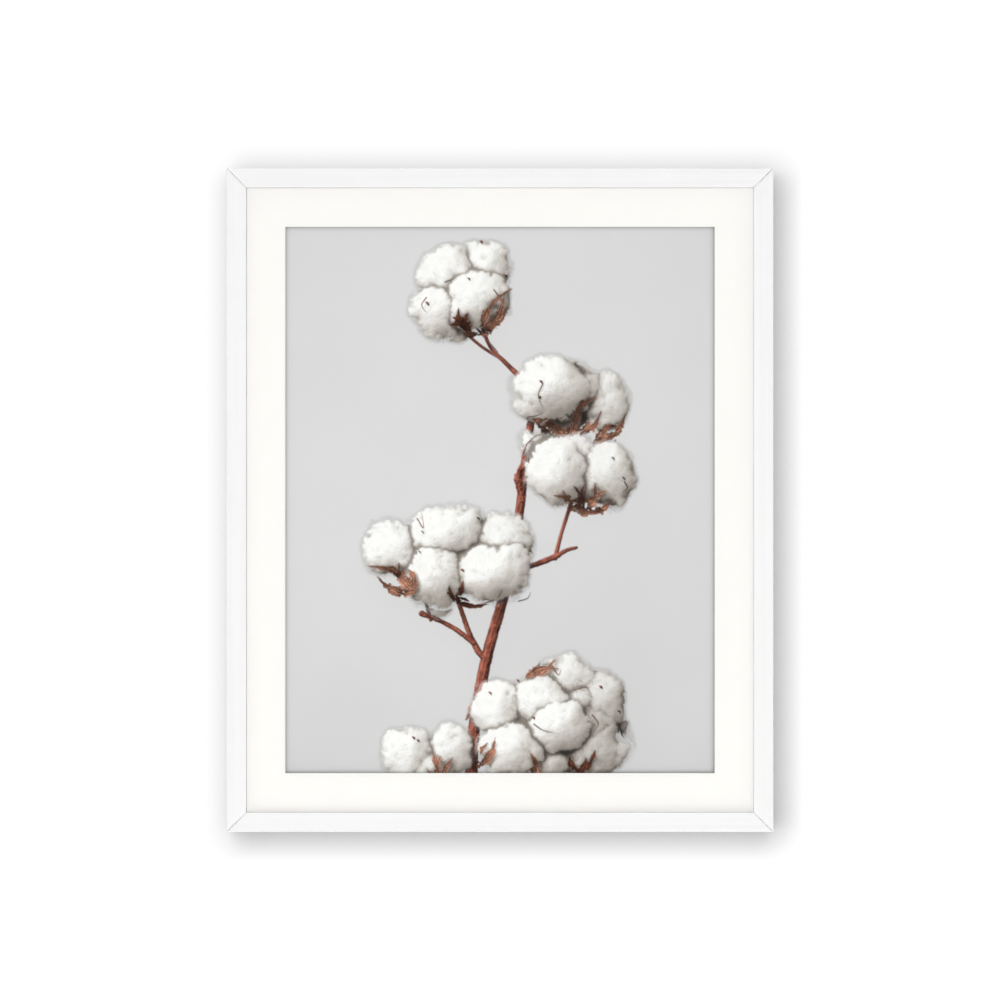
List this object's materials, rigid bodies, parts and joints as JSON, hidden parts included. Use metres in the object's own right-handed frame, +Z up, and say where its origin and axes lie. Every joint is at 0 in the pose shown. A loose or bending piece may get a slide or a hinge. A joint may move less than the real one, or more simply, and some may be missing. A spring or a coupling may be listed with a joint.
{
  "type": "framed wall print",
  "caption": "Upright print of a cotton sprig behind glass with a white window mat, in a slim white mitred wooden frame that hangs on a wall.",
  "frame": {"origin": "middle notch of the sawtooth hanger on the back of the top rail, where the wall's nail carries the frame", "axes": "+Z up, along the tall sides; the picture faces -Y and the wall is at +Y; +X to the right as the picture is seen"},
  "size_m": [0.3556, 0.0256, 0.4318],
  "materials": {
    "painted_wood": "white satin paint over fine straight grain",
    "picture_glass": "clear, low reflection",
    "mat_board": "warm white matt board, window cut with its bevel to the back",
    "print_paper": "matt art paper printed with a pale grey ground and a cotton sprig",
    "mount_board": "matt board",
    "backing_board": "smooth hardboard",
    "hinge_tape": "gummed linen tape",
    "kraft_paper": "brown kraft paper",
    "hanger_steel": "zinc plated",
    "nail_steel": "bright steel",
    "point_steel": "blued spring steel",
    "bumper": "translucent grey, matt"
  },
  "bodies": {
    "root": {"top_rail": "painted_wood", "bottom_rail": "painted_wood", "left_rail": "painted_wood", "right_rail": "painted_wood", "corner_nail_top_left": "nail_steel", "corner_nail_top_right": "nail_steel", "corner_nail_bottom_right": "nail_steel", "corner_nail_bottom_left": "nail_steel", "picture_glass": "picture_glass", "window_mat": "mat_board", "art_print": "print_paper", "mount_board": "mount_board", "backing_board": "backing_board", "hinge_tape_left": "hinge_tape", "hinge_tape_right": "hinge_tape", "glazing_point_left_1": "point_steel", "glazing_point_left_2": "point_steel", "glazing_point_left_3": "point_steel", "glazing_point_top_1": "point_steel", "glazing_point_top_2": "point_steel", "glazing_point_right_1": "point_steel", "glazing_point_right_2": "point_steel", "glazing_point_right_3": "point_steel", "glazing_point_bottom_1": "point_steel", "glazing_point_bottom_2": "point_steel", "dust_cover": "kraft_paper", "sawtooth_hanger": "hanger_steel", "hanger_nail_left": "nail_steel", "hanger_nail_right": "nail_steel", "wall_bumper_left": "bumper", "wall_bumper_right": "bumper"}
  },
  "joints": []
}
